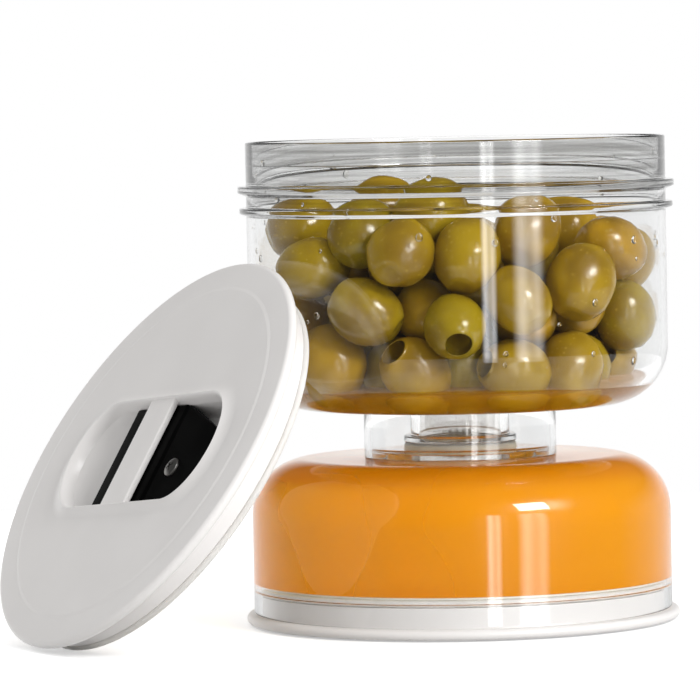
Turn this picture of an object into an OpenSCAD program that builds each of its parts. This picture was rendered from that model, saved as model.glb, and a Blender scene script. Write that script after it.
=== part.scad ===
// Pickle jar with strainer: two clear vessels joined mouth-outward by a drain neck,
// each closed by the same plug lid. One lid is the foot, the other leans on the jar.

/* [Vessels] */
// Outer diameter of both clear vessels
vessel_d = 112; // [100:0.5:130]
// Thickness of the clear walls
wall = 1.8; // [1.2:0.1:2.4]
// Height of the upper vessel from its flat bottom to its rim
upper_h = 71.4; // [60:0.2:110]
// Height of the lower vessel from its rim to its flat top
lower_h = 41.1; // [34:0.1:80]
// Outer radius of the upper vessel's bottom corner
upper_corner = 16; // [8:0.5:22]
// Outer radius of the lower vessel's shoulder
lower_corner = 15; // [8:0.5:20]
// Thickness of each vessel's flat end
floor_t = 2; // [1.6:0.1:3]
// Height of the wider lead-in inside each mouth
mouth_depth = 6.2; // [4:0.1:8]
// Extra radius of the lead-in
mouth_step = 0.6; // [0.3:0.1:0.8]

/* [Grip rings] */
// How far the top ring stands out from the wall
ring_out = 2.25; // [1:0.05:3]
// How much less the lower ring stands out
ring_less = 0.4; // [0:0.05:0.8]
// Drop from the rim to the top of the top ring
ring_drop = 11.7; // [8:0.1:16]
// Height of the top ring
ring_h = 2.7; // [2:0.1:4]
// Height of the lower ring
low_ring_h = 2.2; // [1.6:0.1:3.5]
// Clear height between the two rings
ring_space = 3.1; // [2:0.1:6]

/* [Neck] */
// Clear height between the two vessels
neck_gap = 13.3; // [11:0.1:20]
// Outer diameter of the clear collar round the neck
collar_d = 51.4; // [46:0.2:60]
// Outer diameter of the drain spout
spout_d = 26.5; // [22:0.1:32]
// Wall of the drain spout
spout_wall = 2.2; // [1.6:0.1:3]
// How far the spout's shoulder stands out
shoulder_out = 1.75; // [1:0.05:3]
// Thickness of the spout's shoulder
shoulder_t = 1.4; // [1:0.1:2]
// Height of the boss that locates the collar
boss_h = 2.7; // [2:0.1:4]
// Depth of the gasket seat in the boss
seat_depth = 1.4; // [0.8:0.1:1.8]
// Height of the spout gasket above its seat
gasket_h = 2.7; // [2:0.1:4]
// How far the spout reaches below the lower vessel's end wall
spout_reach = 0.8; // [0.4:0.1:4]

/* [Strainer] */
// Width of the strainer's rim that rests on the vessel's floor
strainer_rim = 4.7; // [3:0.1:8]
// Thickness of that rim
strainer_rim_t = 1.2; // [0.8:0.1:1.6]
// Depth of the seat for it in the floor
strainer_sink = 1; // [0.4:0.1:1.2]
// Depth of the basket below the rim
basket_depth = 9.2; // [5:0.1:10]
// Wall of the basket
basket_wall = 1.3; // [1:0.1:2]
// Diameter of a drain hole
hole_d = 2.6; // [1.6:0.1:3]
// Spacing of the rings of drain holes
hole_pitch = 3.5; // [3.2:0.1:4]

/* [Lid] */
// Outer diameter of the lid's flange
flange_d = 116; // [114:0.5:136]
// Thickness of the flange
flange_t = 3.1; // [2.6:0.1:4]
// Height of the whole lid
lid_h = 11.1; // [10.6:0.1:14]
// Thickness of the face and of the skirt
shell_t = 2; // [1.6:0.1:2.4]
// Radius of the fine step round the flat of the face
face_flat_r = 49.6; // [45:0.2:51]
// Drop of the brim outside that step
brim_drop = 0.4; // [0.2:0.05:0.6]
// Height of the lid gasket
lid_gasket_h = 1.9; // [1.4:0.1:2.4]
// Depth of the groove from the gasket's outer edge
lid_gasket_w = 2.4; // [1.8:0.1:3]
// Thickness of the inner plate
liner_t = 1.2; // [1:0.1:1.8]
// Thickness of that plate's lip under the gasket
liner_lip_t = 0.5; // [0.4:0.1:0.8]
// How far the lip stays inside the gasket's edge
liner_inset = 2; // [1.6:0.1:2.4]
// Thickness of the spigot that locates the plate in the skirt
spigot_t = 2; // [1.4:0.1:2.4]

/* [Finger well] */
// Length of the well
well_l = 76; // [72:0.5:84]
// Width of the well
well_w = 31; // [28:0.5:33]
// Thickness of the well's walls
pan_t = 1.6; // [1.2:0.1:2]
// Thickness of the well's floor
pan_floor_t = 0.9; // [0.8:0.1:1.2]
// Chamfer of the well's lip
lip = 1.4; // [0.8:0.1:1.5]
// Width of the strap across the well
strap_w = 12.4; // [9:0.1:14]
// Thickness of the strap
strap_t = 1.8; // [1.4:0.1:1.9]
// Offset of the strap and of the pivot under it from the well's middle
strap_x = -2; // [-3:0.5:3]
// Height of the scoop's foot above the rocker's pocket
scoop_lift = 0.25; // [0.15:0.05:0.4]

/* [Vent rocker] */
// Length of the deep hub round the pivot
hub_l = 17; // [16:0.2:20]
// Depth of the rocker's top below the face
hub_depth = 2.2; // [2.2:0.1:3]
// Height of the hub
hub_h = 5.2; // [4.8:0.1:5.4]
// Reach of the pressed end from the pivot
press_reach = 15.4; // [13:0.2:16]
// Distance of the ridge from the pivot
ridge_reach = 10.2; // [9:0.2:12]
// Reach of the wing from the pivot
wing_reach = 35.5; // [30:0.5:36]
// Depth of the wing's top below the face
wing_depth = 2.7; // [2.5:0.1:3.2]
// Thickness of the wing
wing_t = 2.4; // [2:0.1:2.6]
// Distance from the pivot to the start of the long corner cut
long_cut = 11.2; // [11:0.2:18]
// Distance from the pivot to the start of the short corner cut
short_cut = 26; // [20:0.5:28]
// Half width of the wing's end beside the long cut
long_side = 5.3; // [4:0.1:9]
// Half width of the wing's end beside the short cut
short_side = 10; // [6:0.1:10]
// Diameter of the pivot pin
pin_d = 2; // [1.6:0.1:2.2]
// How far each end of the pin stays inside the well's outer side
pin_short = 0.2; // [0.1:0.05:0.4]
// Depth of the pivot below the face
pivot_depth = 5.4; // [5.2:0.1:5.8]
// Distance of the vent from the pivot
vent_x = 18; // [16:0.5:20]
// Sideways offset of the vent
vent_y = -4.5; // [-6:0.5:6]
// Diameter of the vent hole
vent_d = 3; // [2:0.1:4]
// Diameter of the vent seal
seal_d = 8; // [6:0.2:9]
// Diameter of the vent screw's head
screw_head_d = 5.3; // [4:0.1:6]
// Height of that head
screw_head_h = 1.2; // [0.8:0.1:1.6]
// Diameter of the vent screw's shank
screw_d = 2.4; // [2:0.1:3]
// How far the screw runs into its seal
screw_bite = 2; // [1:0.1:3]
// Diameter of the return spring's wire
wire_d = 0.6; // [0.4:0.1:0.7]
// Turns of the return spring
spring_turns = 5; // [3:1:6]
// Gap between the spring's turns
coil_space = 0.5; // [0.4:0.1:0.6]
// Gap between the pin and the spring's wire
coil_clear = 0.45; // [0.35:0.05:0.5]
// How far the rocker tips to open the vent
vent_swing = 3.5; // [2:0.5:4]

/* [Leaning lid] */
// How far the leaning lid's face points above level
lean_tilt = 34.1; // [20:0.1:45]
// Direction it leans in, about the jar's axis
lean_turn = -60.6; // [-180:0.1:180]
// Turn of the lid about its own axis
lean_spin = 7; // [-180:1:180]

/* [Clearances] */
// Gap between flat faces that rest on each other across a joint
rest_gap = 0.1; // [0.05:0.05:0.2]
// Gap round a sliding or turning fit
fit_gap = 0.15; // [0.1:0.05:0.2]
// Gap between the lid's plug and the mouth that it closes
plug_gap = 0.6; // [0.4:0.1:0.8]
// Gap between the lid's gasket and that mouth
gasket_gap = 0.2; // [0.15:0.05:0.35]
// Gap between the leaning lid and the jar
lean_gap = 0.3; // [0.2:0.1:1]
// Gap between the rocker and the well's sides
rocker_gap = 0.6; // [0.4:0.1:1]

/* [Hidden] */
$fn = 96;
// Overlap that makes cuts run clean past a face
eps = 0.5;

vessel_r = vessel_d / 2;
inner_r = vessel_r - wall;
mouth_r = inner_r + mouth_step;
rim_r = (vessel_r - mouth_r) / 2;

// Heights above the table
lower_foot_z = flange_t + rest_gap;
lower_top_z = lower_foot_z + lower_h;
upper_z = lower_top_z + neck_gap;
boss_z = lower_top_z + boss_h;
gasket_z = boss_z - seat_depth + rest_gap / 2;
shoulder_z = gasket_z + gasket_h + rest_gap;
spout_end_z = lower_top_z - floor_t - spout_reach;

spout_r = spout_d / 2;
spout_inner_r = spout_r - spout_wall;
shoulder_r = spout_r + shoulder_out;
throat_r = spout_r + 2 * fit_gap;
gasket_inner_r = spout_r + fit_gap;
gasket_r = shoulder_r;
seat_r = gasket_r + fit_gap;
collar_r = collar_d / 2;
collar_inner_r = collar_r - wall;
boss_r = collar_inner_r - fit_gap;

basket_r = spout_inner_r - 2 * fit_gap;
strainer_r = spout_inner_r + strainer_rim;
strainer_z = upper_z + floor_t - strainer_sink;
hole_rings = floor((basket_r - basket_wall - hole_d) / hole_pitch);

// Lid, measured down from its face
flange_r = flange_d / 2;
bead_r = (flange_t - brim_drop) / 2;
bead_c = flange_r - bead_r;
bead_depth = flange_t - bead_r;
plug_r = inner_r - plug_gap;
skirt_inner_r = plug_r - shell_t;
lid_gasket_r = inner_r - gasket_gap;
lid_gasket_edge = lid_gasket_h / 2;
liner_r = lid_gasket_r - liner_inset;
skirt_depth = lid_h - liner_lip_t - lid_gasket_h - rest_gap;
lid_gasket_mid = skirt_depth + rest_gap / 2 + lid_gasket_edge;
spigot_r = skirt_inner_r - fit_gap;
spigot_h = lid_gasket_h;
pan_bottom = lid_h - liner_t;
well_depth = pan_bottom - pan_floor_t;

// Finger well and rocker
well_end = (well_l - well_w) / 2;
scoop_foot = press_reach - strap_x + rocker_gap;
scoop_run = well_l / 2 - scoop_foot;
scoop_depth = well_depth - scoop_lift;
scoop_r = (scoop_run * scoop_run + scoop_depth * scoop_depth) / (2 * scoop_depth);
hub_w = well_w - 2 * rocker_gap;
hub_bottom = hub_depth + hub_h;
wing_bottom = wing_depth + wing_t;
pin_l = well_w + 2 * pan_t - 2 * pin_short;
screw_tip = wing_bottom + screw_bite;
coil_r = pin_d / 2 + coil_clear + wire_d / 2;
coil_pitch = wire_d + coil_space;
coil_l = spring_turns * coil_pitch;
coil_room_r = coil_r + wire_d / 2 + coil_space;
coil_room_l = coil_l + 2 * wire_d + 2 * coil_space;
leg_l = hub_l / 3;
leg_room_l = leg_l + 2 * coil_space;
leg_room_depth = pivot_depth + coil_r - wire_d / 2 - leg_room_l * sin(vent_swing) - fit_gap;

// Place of the leaning lid: its gasket stands on the table and touches the upper vessel
lean_z = lid_gasket_mid * sin(lean_tilt) + (lid_gasket_r - lid_gasket_edge) * cos(lean_tilt) + lid_gasket_edge;
lean_out = vessel_r + lean_gap + lid_gasket_mid * cos(lean_tilt)
    + (lid_gasket_r - lid_gasket_edge) * sin(lean_tilt) + lid_gasket_edge;

clear_tint = [0.86, 0.91, 0.92, 0.35];
white_tint = [0.90, 0.89, 0.88];
black_tint = [0.07, 0.07, 0.08];
silicone_tint = [0.93, 0.93, 0.91, 0.9];
steel_tint = [0.75, 0.76, 0.78];

// Half outline of a can that stands on the axis, with one rounded bottom corner
module can_outline(r, h, corner) {
    square([r - corner, h]);
    translate([0, corner]) square([r, h - corner]);
    translate([r - corner, corner]) circle(corner);
}

// Half section of a vessel: flat end at zero, open mouth with lead-in and round rim at h
module vessel_section(h, corner) {
    difference() {
        can_outline(vessel_r, h - rim_r, corner);
        translate([0, floor_t]) can_outline(inner_r, h, corner - wall);
        translate([0, h - mouth_depth]) square([mouth_r, mouth_depth]);
    }
    translate([vessel_r - rim_r, h - rim_r]) circle(rim_r);
}

// Half section of a grip ring: flat top, upright edge and a chamfer below
module ring_section(top, height, out) {
    chamfer = height / 3;
    polygon([[vessel_r - wall / 2, top - height], [vessel_r, top - height],
        [vessel_r + out, top - height + chamfer], [vessel_r + out, top], [vessel_r - wall / 2, top]]);
}

module upper_vessel() {
    top_ring = upper_h - ring_drop;
    low_ring = top_ring - ring_h - ring_space;
    color(clear_tint) translate([0, 0, upper_z]) rotate_extrude() difference() {
        union() {
            vessel_section(upper_h, upper_corner);
            ring_section(top_ring, ring_h, ring_out);
            ring_section(low_ring, low_ring_h, ring_out - ring_less);
            translate([0, spout_end_z - upper_z]) square([spout_r, upper_z - spout_end_z + floor_t]);
            translate([0, shoulder_z - upper_z]) square([shoulder_r, shoulder_t]);
        }
        translate([0, spout_end_z - upper_z - eps])
            square([spout_inner_r, upper_z - spout_end_z + floor_t + 2 * eps]);
        translate([0, floor_t - strainer_sink]) square([strainer_r + fit_gap, strainer_sink + eps]);
    }
}

// Basket that hangs in the spout by its rim, with rings of drain holes in its floor
module strainer() {
    color(clear_tint) translate([0, 0, strainer_z]) difference() {
        rotate_extrude() difference() {
            union() {
                square([strainer_r, strainer_rim_t]);
                translate([0, -basket_depth]) square([basket_r, basket_depth + strainer_rim_t]);
            }
            translate([0, basket_wall - basket_depth])
                square([basket_r - basket_wall, basket_depth + strainer_rim_t]);
        }
        translate([0, 0, -basket_depth - eps]) cylinder(d = hole_d, h = basket_wall + 2 * eps);
        for (ring = [1 : hole_rings], k = [0 : 6 * ring - 1])
            rotate([0, 0, k * 60 / ring]) translate([ring * hole_pitch, 0, -basket_depth - eps])
                cylinder(d = hole_d, h = basket_wall + 2 * eps, $fn = 24);
    }
}

module spout_gasket() {
    round_r = (gasket_r - gasket_inner_r) / 2;
    color(silicone_tint) translate([0, 0, gasket_z]) rotate_extrude() {
        translate([gasket_inner_r, 0]) square([2 * round_r, gasket_h - round_r]);
        translate([gasket_inner_r + round_r, gasket_h - round_r]) circle(round_r);
    }
}

module neck_collar() {
    color(clear_tint) translate([0, 0, lower_top_z]) rotate_extrude()
        translate([collar_inner_r, 0]) square([wall, neck_gap - rest_gap]);
}

module lower_vessel() {
    color(clear_tint) translate([0, 0, lower_top_z]) mirror([0, 0, 1]) rotate_extrude() difference() {
        union() {
            vessel_section(lower_h, lower_corner);
            translate([0, -boss_h]) square([boss_r, boss_h + floor_t]);
        }
        translate([0, -boss_h - eps]) square([throat_r, boss_h + floor_t + 2 * eps]);
        translate([0, -boss_h - eps]) square([seat_r, seat_depth + eps]);
    }
}

// Outline of the finger well, grown by a margin
module well_outline(margin = 0) {
    square([2 * well_end, well_w + 2 * margin], center = true);
    for (side = [-1, 1]) translate([side * well_end, 0]) circle(well_w / 2 + margin);
}

// Chamfer round the well's lip, from cones at the ends and a wedge between them
module lip_cut() {
    for (side = [-1, 1]) translate([side * well_end, 0, -lip])
        cylinder(r1 = well_w / 2, r2 = well_w / 2 + lip + eps, h = lip + eps);
    rotate([90, 0, 90]) translate([0, 0, -well_end]) linear_extrude(2 * well_end)
        polygon([[-well_w / 2, -lip], [well_w / 2, -lip],
            [well_w / 2 + lip + eps, eps], [-well_w / 2 - lip - eps, eps]]);
}

// Grip strap: a flat bar with round edges, flush with the face
module strap() {
    edge = strap_t / 2;
    translate([strap_x, well_w / 2 + lip + eps, -edge]) rotate([90, 0, 0])
        linear_extrude(well_w + 2 * lip + 2 * eps) {
            square([strap_w - strap_t, strap_t], center = true);
            for (side = [-1, 1]) translate([side * (strap_w / 2 - edge), 0]) circle(edge);
        }
}

// Face, round-edged flange and plug skirt, with the strap across the well's opening
module lid_cover() {
    step = brim_drop / 4;
    color(white_tint) union() {
        difference() {
            rotate_extrude() {
                translate([0, -shell_t]) square([face_flat_r, shell_t]);
                polygon([[skirt_inner_r, -flange_t], [bead_c, -flange_t], [bead_c, -brim_drop],
                    [face_flat_r, -step], [face_flat_r, -shell_t], [skirt_inner_r, -shell_t]]);
                translate([bead_c, -bead_depth]) circle(bead_r);
                translate([skirt_inner_r, -skirt_depth]) square([shell_t, skirt_depth - shell_t]);
            }
            translate([0, 0, -shell_t - eps]) linear_extrude(shell_t + 2 * eps) well_outline();
            lip_cut();
        }
        strap();
    }
}

// Arched floor of the scoop, as the round that cuts it
module scoop_round() {
    translate([-scoop_foot, 0, scoop_r - scoop_depth]) rotate([90, 0, 0])
        cylinder(r = scoop_r, h = 2 * well_w, center = true, $fn = 192);
}

// Pan under the face: a flat pocket for the rocker at one end, a scoop at the other
module lid_well() {
    color(white_tint) difference() {
        translate([0, 0, -pan_bottom]) linear_extrude(pan_bottom - shell_t) well_outline(pan_t);
        translate([-scoop_foot, -well_w / 2, -well_depth]) cube([scoop_foot + well_end, well_w, lid_h]);
        translate([well_end, 0, -well_depth]) cylinder(d = well_w, h = lid_h);
        intersection() {
            translate([-well_end, -well_w / 2, -lid_h]) cube([well_end - scoop_foot + eps, well_w, 2 * lid_h]);
            scoop_round();
        }
        intersection() {
            translate([-well_end, 0, -lid_h]) cylinder(d = well_w, h = 2 * lid_h);
            scoop_round();
        }
        translate([strap_x, 0, -pivot_depth]) rotate([90, 0, 0])
            cylinder(d = pin_d + rest_gap, h = 2 * well_w, center = true, $fn = 32);
        translate([strap_x + vent_x, vent_y, -pan_bottom - eps])
            cylinder(d = vent_d, h = pan_floor_t + 2 * eps, $fn = 32);
    }
}

// Inner plate that closes the plug and traps the gasket
module lid_liner() {
    color(white_tint) difference() {
        translate([0, 0, -lid_h]) rotate_extrude() {
            square([liner_r, liner_lip_t]);
            square([spigot_r, liner_t]);
            translate([spigot_r - spigot_t, 0]) square([spigot_t, liner_t + spigot_h]);
        }
        translate([strap_x + vent_x, vent_y, -lid_h - eps]) cylinder(d = vent_d, h = liner_t + 2 * eps, $fn = 32);
    }
}

module lid_gasket() {
    inner = lid_gasket_r - lid_gasket_w;
    color(silicone_tint) translate([0, 0, -lid_gasket_mid]) rotate_extrude() {
        translate([inner, -lid_gasket_edge]) square([lid_gasket_w - lid_gasket_edge, lid_gasket_h]);
        translate([lid_gasket_r - lid_gasket_edge, 0]) circle(lid_gasket_edge);
    }
}

// Side view of the rocker: pressed end, deep hub round the pivot, ridge and lower wing
module rocker_side() {
    drop = wing_depth - hub_depth;
    polygon([[-press_reach, -hub_depth], [ridge_reach, -hub_depth], [ridge_reach + drop, -wing_depth],
        [wing_reach, -wing_depth], [wing_reach, -wing_bottom], [hub_l / 2, -wing_bottom],
        [hub_l / 2, -hub_bottom], [-hub_l / 2, -hub_bottom], [-hub_l / 2, -wing_bottom],
        [-press_reach, -wing_bottom]]);
}

// Plan of the rocker: full width at the hub, a long and a short cut at the far corners
module rocker_plan() {
    polygon([[-press_reach, -hub_w / 2], [short_cut, -hub_w / 2], [wing_reach, -short_side],
        [wing_reach, long_side], [long_cut, hub_w / 2], [-press_reach, hub_w / 2]]);
}

module lid_rocker() {
    color(black_tint) translate([strap_x, 0, 0]) difference() {
        intersection() {
            rotate([90, 0, 0]) translate([0, 0, -hub_w / 2]) linear_extrude(hub_w) rocker_side();
            translate([0, 0, -lid_h]) linear_extrude(lid_h) rocker_plan();
        }
        translate([0, 0, -pivot_depth]) rotate([90, 0, 0]) {
            cylinder(d = pin_d + 2 * fit_gap, h = 2 * well_w, center = true, $fn = 32);
            cylinder(r = coil_room_r, h = coil_room_l, center = true, $fn = 48);
        }
        translate([-leg_room_l, -coil_room_l / 2, -hub_bottom - eps])
            cube([2 * leg_room_l, coil_room_l, hub_bottom - leg_room_depth + eps]);
        translate([vent_x, vent_y, -wing_bottom - eps])
            cylinder(d = screw_d + rest_gap, h = wing_t + 2 * eps, $fn = 32);
    }
}

module lid_rocker_pin() {
    color(steel_tint) translate([strap_x, 0, -pivot_depth]) rotate([90, 0, 0])
        cylinder(d = pin_d, h = pin_l, center = true, $fn = 32);
}

// Domed screw that holds the seal under the wing
module lid_vent_screw() {
    dome_r = (screw_head_d * screw_head_d / 4 + screw_head_h * screw_head_h) / (2 * screw_head_h);
    color(steel_tint) translate([strap_x + vent_x, vent_y, -wing_depth]) {
        intersection() {
            cylinder(d = screw_head_d, h = screw_head_h, $fn = 48);
            translate([0, 0, screw_head_h - dome_r]) sphere(r = dome_r);
        }
        translate([0, 0, wing_depth - screw_tip]) cylinder(d = screw_d, h = screw_tip - wing_depth, $fn = 32);
    }
}

module lid_vent_seal() {
    seal_h = well_depth - wing_bottom - rest_gap;
    color(silicone_tint) translate([strap_x + vent_x, vent_y, -wing_bottom - seal_h]) difference() {
        cylinder(d = seal_d, h = seal_h, $fn = 48);
        translate([0, 0, wing_bottom + seal_h - screw_tip]) cylinder(d = screw_d, h = screw_tip, $fn = 32);
    }
}

function unit(v) = v / norm(v);

// Centre line of the torsion spring: a leg, the turns round the pin, and a leg
coil_steps = 16 * spring_turns;
function coil_point(a) = [coil_r * sin(a), coil_pitch * a / 360 - coil_l / 2, -coil_r * cos(a)];
spring_path = concat([[-leg_l, -coil_l / 2, -coil_r]],
    [for (k = [0 : coil_steps]) coil_point(k * 360 * spring_turns / coil_steps)],
    [[leg_l, coil_l / 2, -coil_r]]);

// Six-sided wire swept along a path that winds round the Y axis
module wire(path, d) {
    sides = 6;
    last = len(path) - 1;
    function along(i) = unit(path[min(i + 1, last)] - path[max(i - 1, 0)]);
    function across(i) = unit(cross(along(i), [0, 1, 0]));
    points = [for (i = [0 : last], k = [0 : sides - 1])
        let (n = across(i), b = cross(along(i), n), a = k * 360 / sides)
            path[i] + d / 2 * (cos(a) * n + sin(a) * b)];
    walls = [for (i = [0 : last - 1], k = [0 : sides - 1])
        let (p = i * sides + k, q = i * sides + (k + 1) % sides)
            each [[p, p + sides, q], [q, p + sides, q + sides]]];
    ends = [for (k = [1 : sides - 2]) each [[0, k, k + 1],
        [last * sides, last * sides + k + 1, last * sides + k]]];
    polyhedron(points, concat(walls, ends));
}

module lid_rocker_spring() {
    color(steel_tint) translate([strap_x, 0, -pivot_depth]) wire(spring_path, wire_d);
}

// The lid that closes the lower vessel lies face down on the table
module at_base() {
    rotate([180, 0, 0]) children();
}

// The other lid has been taken off and leans on the upper vessel
module at_lean() {
    translate([lean_out * sin(lean_turn), -lean_out * cos(lean_turn), lean_z])
        rotate([0, 0, lean_turn]) rotate([90 - lean_tilt, 0, 0]) rotate([0, 0, lean_spin]) children();
}

upper_vessel();
strainer();
spout_gasket();
neck_collar();
lower_vessel();
at_lean() lid_cover();  // top_cover
at_lean() lid_well();  // top_well
at_lean() lid_liner();  // top_liner
at_lean() lid_gasket();  // top_gasket
at_lean() lid_rocker();  // top_rocker
at_lean() lid_rocker_pin();  // top_rocker_pin
at_lean() lid_vent_screw();  // top_vent_screw
at_lean() lid_vent_seal();  // top_vent_seal
at_lean() lid_rocker_spring();  // top_rocker_spring
at_base() lid_cover();  // base_cover
at_base() lid_well();  // base_well
at_base() lid_liner();  // base_liner
at_base() lid_gasket();  // base_gasket
at_base() lid_rocker();  // base_rocker
at_base() lid_rocker_pin();  // base_rocker_pin
at_base() lid_vent_screw();  // base_vent_screw
at_base() lid_vent_seal();  // base_vent_seal
at_base() lid_rocker_spring();  // base_rocker_spring
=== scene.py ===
# %% [markdown]
# # A pickle jar with a strainer, dressed in Blender
# The jar is two clear vessels that meet at a drain neck, and each of them has a white plug lid of the same
# kind. One lid is the foot of the jar, and the other one leans against it. The construction comes from the
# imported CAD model. This lesson gives every piece its finish, models the pieces that show most again with
# softer edges, and fills the jar.

# %% Load the frame
import math
import bmesh
import bpy
import numpy as np
from mathutils import Matrix, Vector


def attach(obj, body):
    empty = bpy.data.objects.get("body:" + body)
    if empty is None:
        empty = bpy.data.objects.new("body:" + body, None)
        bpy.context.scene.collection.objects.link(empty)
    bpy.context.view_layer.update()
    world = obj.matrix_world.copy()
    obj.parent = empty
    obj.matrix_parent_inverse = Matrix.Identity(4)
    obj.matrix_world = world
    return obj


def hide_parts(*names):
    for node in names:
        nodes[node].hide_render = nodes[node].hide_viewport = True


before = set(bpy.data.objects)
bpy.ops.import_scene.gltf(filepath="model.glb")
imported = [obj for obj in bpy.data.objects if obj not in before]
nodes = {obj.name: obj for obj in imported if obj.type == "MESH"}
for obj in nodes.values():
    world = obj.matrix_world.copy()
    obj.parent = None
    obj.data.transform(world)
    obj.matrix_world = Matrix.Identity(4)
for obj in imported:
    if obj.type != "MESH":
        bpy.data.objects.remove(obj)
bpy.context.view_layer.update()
MM = 0.001
scene = bpy.context.scene
scene.view_settings.view_transform = "Standard"
bpy.ops.object.select_all(action="DESELECT")

# %% [markdown]
# ## Camera
# A product shot like this one is taken from far away with a long lens, so that the rims of the jar stay
# almost straight. The place, the turn and the lens are set so that the rims, the neck and the foot of the
# jar fall where they do in the photograph. The picture is taken as 700 pixels wide.

# %% Camera
CAMERA_PLACE = Vector((0, -1.39125, 0.14306))
CAMERA_YAW = math.radians(-1.195)
CAMERA_PITCH = math.radians(-2.884)
CAMERA_ROLL = math.radians(-1.154)
PICTURE_WIDTH = 700
FOCAL_PIXELS = 5207.5
SENSOR_WIDTH = 36

look = Vector((math.sin(CAMERA_YAW) * math.cos(CAMERA_PITCH),
               math.cos(CAMERA_YAW) * math.cos(CAMERA_PITCH),
               math.sin(CAMERA_PITCH)))
level_right = look.cross(Vector((0, 0, 1))).normalized()
level_up = level_right.cross(look)
right = math.cos(CAMERA_ROLL) * level_right + math.sin(CAMERA_ROLL) * level_up
up = right.cross(look)
camera_data = bpy.data.cameras.new("camera")
camera_data.sensor_width = SENSOR_WIDTH
camera_data.lens = FOCAL_PIXELS / PICTURE_WIDTH * SENSOR_WIDTH
camera = bpy.data.objects.new("camera", camera_data)
scene.collection.objects.link(camera)
turn = Matrix((right, up, -look)).transposed().to_4x4()
camera.matrix_world = Matrix.Translation(CAMERA_PLACE) @ turn
scene.camera = camera
print("camera lens", round(camera_data.lens, 1), "mm")

# %% [markdown]
# ## Nodes in few words
# The light and the finishes below are node trees. They could be clicked together one node at a time. In a
# script, a few small functions that add a node, set its plain values and link it keep each tree short
# enough to read.

# %% Node helpers
def feed(tree, node, inputs):
    """Give each input of a node, by name or number, a link from an output or a plain value."""
    for socket, value in inputs.items():
        if isinstance(value, bpy.types.NodeSocket):
            tree.links.new(value, node.inputs[socket])
        else:
            node.inputs[socket].default_value = value


def new_node(tree, kind, inputs=None, **settings):
    """Add a shader node with its settings and its inputs."""
    node = tree.nodes.new("ShaderNode" + kind)
    for name, value in settings.items():
        setattr(node, name, value)
    feed(tree, node, inputs or {})
    return node


def maths(tree, operation, first, second):
    """Work with two numbers."""
    return new_node(tree, "Math", {0: first, 1: second}, operation=operation).outputs[0]


def mixed(tree, share, first, second):
    """Mix two numbers by a 0 to 1 value."""
    return new_node(tree, "Mix", {0: share, 2: first, 3: second}).outputs[0]


def blended(tree, share, first, second):
    """Mix two colours by a 0 to 1 value."""
    colours = [(*c, 1) if isinstance(c, tuple) else c for c in (first, second)]
    return new_node(tree, "Mix", {0: share, 6: colours[0], 7: colours[1]}, data_type="RGBA").outputs[2]


def mixed_shaders(tree, share, first, second):
    """Mix two shaders by a 0 to 1 value."""
    return new_node(tree, "MixShader", {0: share, 1: first, 2: second}).outputs[0]


def span(tree, source, begin, end, low=0.0, high=1.0, curve="LINEAR"):
    """Map a value between begin and end to low and high."""
    inputs = {"Value": source, "From Min": begin, "From Max": end, "To Min": low, "To Max": high}
    return new_node(tree, "MapRange", inputs, interpolation_type=curve).outputs["Result"]


def axes_of(tree, vector):
    """The X, Y and Z of a vector."""
    return new_node(tree, "SeparateXYZ", {0: vector}).outputs


# %% [markdown]
# ## Studio
# The jar stands on white, with a window in front of it to the right. A white world gives the even light,
# more of it from behind, and looks white to the camera and through the clear walls.
# Reflections see the low white backdrop behind the jar too, and elsewhere the dim room, so that the clear
# walls carry no white veil. Two upright panes stand for the window: they draw the long bright streaks on
# the round walls. A soft key lamp is over them, and a small window behind picks out the lip of the lid.
# The floor is a plain matt disc, left out of reflections so that the streaks run down to the foot.

# %% World
LIGHT_FRONT = 0.52
LIGHT_BACK = 1.1
ROOM_GLOSS = 0.06
BACKDROP_GLOSS = 1.0
BACKDROP_DEPTH = (0.1, 0.9)
BACKDROP_HEIGHT = (0.35, 0.1)
WHITE = (1.0, 1.0, 1.0, 1.0)

world = bpy.data.worlds.new("studio")
scene.world = world
world.use_nodes = True
tree = world.node_tree
ray = new_node(tree, "LightPath").outputs
direction = axes_of(tree, new_node(tree, "TexCoord").outputs["Generated"])
behind = span(tree, direction["Y"], *BACKDROP_DEPTH)
low = span(tree, direction["Z"], *BACKDROP_HEIGHT)
backdrop = maths(tree, "MULTIPLY", behind, low)
mirrored = span(tree, backdrop, 0.0, 1.0, ROOM_GLOSS, BACKDROP_GLOSS)
lighting = span(tree, direction["Y"], -1.0, 1.0, LIGHT_FRONT, LIGHT_BACK)
gloss_or_light = mixed(tree, ray["Is Glossy Ray"], lighting, mirrored)
unmirrored = maths(tree, "LESS_THAN", ray["Glossy Depth"], 0.5)
straight = maths(tree, "MULTIPLY", ray["Is Transmission Ray"], unmirrored)
seen = maths(tree, "MAXIMUM", ray["Is Camera Ray"], straight)
strength = mixed(tree, seen, gloss_or_light, 1.0)
feed(tree, tree.nodes["Background"], {"Color": WHITE, "Strength": strength})
print("world lights from", LIGHT_FRONT, "in front to", LIGHT_BACK, "behind")

# %% Window and soft lamps
LAMP_DISTANCE = 1.7
LAMP_AIM = Vector((0, 0, 0.07))
PANE_ELEVATION = 1
PANE_HEIGHT = 1.0
PANE_FADE = ((0.3, 1.0), (0.55, 0.55), (0.75, 0.8))
BLACK = (0, 0, 0, 1)


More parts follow.
